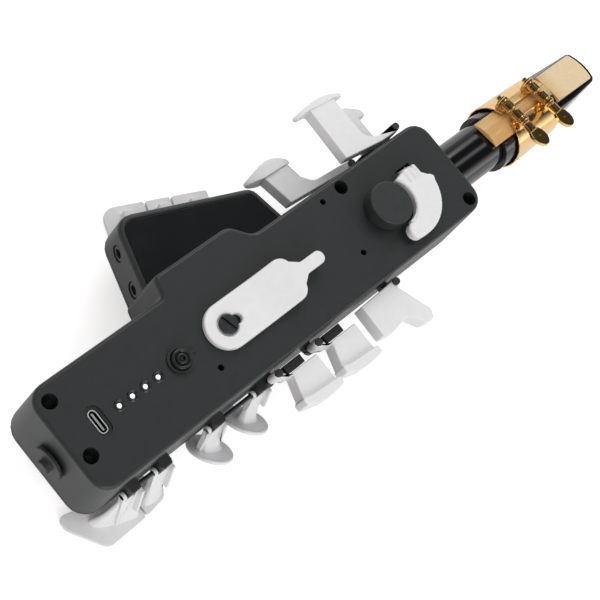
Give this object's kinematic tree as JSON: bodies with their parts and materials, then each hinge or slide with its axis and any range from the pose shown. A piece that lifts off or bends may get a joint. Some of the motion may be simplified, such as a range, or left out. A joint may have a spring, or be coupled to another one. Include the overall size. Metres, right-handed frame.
{
  "type": "digital wind controller",
  "caption": "Hand-held electronic wind instrument with a side wing, lever and plunger keys, a thumb hook, and a reed mouthpiece with a ligature on a straight neck.",
  "frame": {"origin": "under the middle of the bounding box, on the surface the front face's keys rest on", "axes": "+X along the instrument towards the mouthpiece, +Y towards the side wing, +Z out of the back face"},
  "size_m": [0.2964, 0.1078, 0.049],
  "materials": {
    "housing": "fine matte moulded finish",
    "label": "smooth gloss plate",
    "keys": "satin white",
    "black_gloss": "polished",
    "black_matte": "matte",
    "gilt": "polished and lacquered",
    "cane": "planed cane",
    "steel": "satin",
    "light": "clear, lit white from behind",
    "board": "solder mask",
    "battery": "foil wrap",
    "silicone": "satin"
  },
  "bodies": {
    "housing": {"back_shell": "housing", "front_cover": "housing", "label_plate": "label", "housing_screw_1": "steel", "housing_screw_2": "steel", "housing_screw_3": "steel", "housing_screw_4": "steel", "main_board": "board", "usb_port": "steel", "light_guide": "light", "jack_1": "black_matte", "jack_2": "black_matte", "battery": "battery", "speaker": "black_matte", "breath_sensor": "black_matte", "breath_tube": "silicone", "thumb_rest": "black_matte", "thumb_hook_screw": "black_matte", "octave_pin": "steel", "side_pin_1": "black_matte", "side_pin_2": "black_matte", "side_pin_3": "black_matte", "palm_pin_1": "black_matte", "palm_pin_2": "black_matte", "palm_stop": "black_matte", "finger_rod": "steel", "pinky_rod": "steel", "table_rod": "steel", "neck": "black_gloss"},
    "mouthpiece": {"mouthpiece": "black_gloss", "reed": "cane", "ligature": "gilt"},
    "thumb_hook": {"thumb_hook": "keys"},
    "power_button": {"power_button": "black_matte"},
    "octave_key": {"octave_key": "keys"},
    "air_knob": {"air_knob": "black_matte"},
    "palm_key_1": {"palm_key_1": "keys"},
    "palm_key_2": {"palm_key_2": "keys"},
    "palm_key_3": {"palm_key_3": "keys"},
    "table_key_1": {"table_key_1": "keys"},
    "table_key_2": {"table_key_2": "keys"},
    "table_key_3": {"table_key_3": "keys"},
    "table_key_4": {"table_key_4": "keys"},
    "side_key_1": {"side_key_1": "keys", "side_stop_1": "black_matte"},
    "side_key_2": {"side_key_2": "keys", "side_stop_2": "black_matte"},
    "side_key_3": {"side_key_3": "keys"},
    "finger_key_d": {"finger_key_d": "keys"},
    "finger_key_e": {"finger_key_e": "keys"},
    "finger_key_f": {"finger_key_f": "keys"},
    "pinky_key_1": {"pinky_key_1": "keys"},
    "pinky_key_2": {"pinky_key_2": "keys"},
    "left_key_1": {"left_key_1": "keys"},
    "left_key_2": {"left_key_2": "keys"},
    "left_key_3": {"left_key_3": "keys"},
    "left_key_4": {"left_key_4": "keys"},
    "left_key_5": {"left_key_5": "keys"},
    "ligature_screw_1": {"ligature_screw_1": "gilt"},
    "ligature_screw_2": {"ligature_screw_2": "gilt"}
  },
  "joints": [
    {"name": "thumb_hook_slide", "type": "slide", "parent": "housing", "child": "thumb_hook", "axis": [-1, 0, 0], "range_m": [0, 0.0043]},
    {"name": "power_press", "type": "slide", "parent": "housing", "child": "power_button", "axis": [0, 0, -1], "range_m": [0, 0.0006], "stiffness_N_per_m": 600, "springref_m": -0.0006},
    {"name": "octave_hinge", "type": "hinge", "parent": "housing", "child": "octave_key", "pos_m": [0.02962, -0.00416, 0.0416], "axis": [1, 0, 0], "range_deg": [0, 5], "stiffness_Nm_per_rad": 0.03, "springref_deg": -17.19},
    {"name": "air_knob_turn", "type": "hinge", "parent": "housing", "child": "air_knob", "pos_m": [-0.14358, -0.01116, 0.0266], "axis": [-1, 0, 0], "range_deg": [0, 270]},
    {"name": "palm_hinge_1", "type": "hinge", "parent": "housing", "child": "palm_key_1", "pos_m": [0.04122, 0.01224, 0.0376], "axis": [0, 0, 1], "range_deg": [0, 2.5], "stiffness_Nm_per_rad": 0.05, "springref_deg": -17.19},
    {"name": "palm_hinge_2", "type": "hinge", "parent": "housing", "child": "palm_key_2", "pos_m": [0.04122, 0.01224, 0.0258], "axis": [0, 0, 1], "range_deg": [0, 8], "stiffness_Nm_per_rad": 0.05, "springref_deg": -17.19},
    {"name": "palm_hinge_3", "type": "hinge", "parent": "housing", "child": "palm_key_3", "pos_m": [0.02442, 0.01224, 0.0231], "axis": [0, 0, 1], "range_deg": [0, 3], "stiffness_Nm_per_rad": 0.05, "springref_deg": -17.19},
    {"name": "table_hinge_1", "type": "hinge", "parent": "housing", "child": "table_key_1", "pos_m": [-0.04954, 0.02164, 0.0072], "axis": [0.9342, -0.3567, 0], "range_deg": [0, 7], "stiffness_Nm_per_rad": 0.05, "springref_deg": -17.19},
    {"name": "table_hinge_2", "type": "hinge", "parent": "housing", "child": "table_key_2", "pos_m": [-0.04954, 0.02164, 0.0072], "axis": [0.9342, -0.3567, 0], "range_deg": [0, 7], "stiffness_Nm_per_rad": 0.05, "springref_deg": -17.19},
    {"name": "table_hinge_3", "type": "hinge", "parent": "housing", "child": "table_key_3", "pos_m": [-0.04954, 0.02164, 0.0072], "axis": [0.9342, -0.3567, 0], "range_deg": [0, 7], "stiffness_Nm_per_rad": 0.05, "springref_deg": -17.19},
    {"name": "table_hinge_4", "type": "hinge", "parent": "housing", "child": "table_key_4", "pos_m": [-0.04954, 0.02164, 0.0072], "axis": [0.9342, -0.3567, 0], "range_deg": [0, 7], "stiffness_Nm_per_rad": 0.05, "springref_deg": -17.19},
    {"name": "side_hinge_1", "type": "hinge", "parent": "housing", "child": "side_key_1", "pos_m": [-0.06408, -0.03456, 0.0331], "axis": [0, 0, 1], "range_deg": [0, 5], "stiffness_Nm_per_rad": 0.05, "springref_deg": -17.19},
    {"name": "side_hinge_2", "type": "hinge", "parent": "housing", "child": "side_key_2", "pos_m": [-0.04368, -0.03456, 0.0331], "axis": [0, 0, 1], "range_deg": [0, 5], "stiffness_Nm_per_rad": 0.05, "springref_deg": -17.19},
    {"name": "side_hinge_3", "type": "hinge", "parent": "housing", "child": "side_key_3", "pos_m": [-0.00138, -0.03456, 0.0331], "axis": [0, 0, -1], "range_deg": [0, 6], "stiffness_Nm_per_rad": 0.05, "springref_deg": -17.19},
    {"name": "finger_hinge_d", "type": "hinge", "parent": "housing", "child": "finger_key_d", "pos_m": [-0.08888, -0.03436, 0.0231], "axis": [1, 0, 0], "range_deg": [0, 7], "stiffness_Nm_per_rad": 0.05, "springref_deg": -17.19},
    {"name": "finger_hinge_e", "type": "hinge", "parent": "housing", "child": "finger_key_e", "pos_m": [-0.06688, -0.03436, 0.0231], "axis": [1, 0, 0], "range_deg": [0, 7], "stiffness_Nm_per_rad": 0.05, "springref_deg": -17.19},
    {"name": "pinky_hinge_1", "type": "hinge", "parent": "housing", "child": "pinky_key_1", "pos_m": [-0.12788, -0.03436, 0.0231], "axis": [1, 0, 0], "range_deg": [0, 6], "stiffness_Nm_per_rad": 0.05, "springref_deg": -17.19},
    {"name": "pinky_hinge_2", "type": "hinge", "parent": "housing", "child": "pinky_key_2", "pos_m": [-0.11388, -0.03436, 0.0231], "axis": [1, 0, 0], "range_deg": [0, 6], "stiffness_Nm_per_rad": 0.05, "springref_deg": -17.19},
    {"name": "left_press_1", "type": "slide", "parent": "housing", "child": "left_key_1", "axis": [0, 0, 1], "range_m": [0, 0.0022], "stiffness_N_per_m": 350, "springref_m": -0.002},
    {"name": "left_press_2", "type": "slide", "parent": "housing", "child": "left_key_2", "axis": [0, 0, 1], "range_m": [0, 0.0022], "stiffness_N_per_m": 350, "springref_m": -0.002},
    {"name": "left_press_3", "type": "slide", "parent": "housing", "child": "left_key_3", "axis": [0, 0, 1], "range_m": [0, 0.0022], "stiffness_N_per_m": 350, "springref_m": -0.002},
    {"name": "left_press_4", "type": "slide", "parent": "housing", "child": "left_key_4", "axis": [0, 0, 1], "range_m": [0, 0.0022], "stiffness_N_per_m": 350, "springref_m": -0.002},
    {"name": "left_press_5", "type": "slide", "parent": "housing", "child": "left_key_5", "axis": [0, 0, 1], "range_m": [0, 0.0022], "stiffness_N_per_m": 350, "springref_m": -0.002},
    {"name": "finger_press_f", "type": "slide", "parent": "housing", "child": "finger_key_f", "axis": [0, 0, 1], "range_m": [0, 0.0022], "stiffness_N_per_m": 350, "springref_m": -0.002},
    {"name": "mouthpiece_slide", "type": "slide", "parent": "housing", "child": "mouthpiece", "axis": [0.9994, 0, -0.0349], "range_m": [0, 0.012]},
    {"name": "ligature_screw_turn_1", "type": "hinge", "parent": "mouthpiece", "child": "ligature_screw_1", "pos_m": [0.09343, -0.00994, 0.04045], "axis": [-0.0055, 0.9877, -0.1563], "continuous": true},
    {"name": "ligature_screw_turn_2", "type": "hinge", "parent": "mouthpiece", "child": "ligature_screw_2", "pos_m": [0.11092, -0.00994, 0.03984], "axis": [-0.0055, 0.9877, -0.1563], "continuous": true}
  ]
}
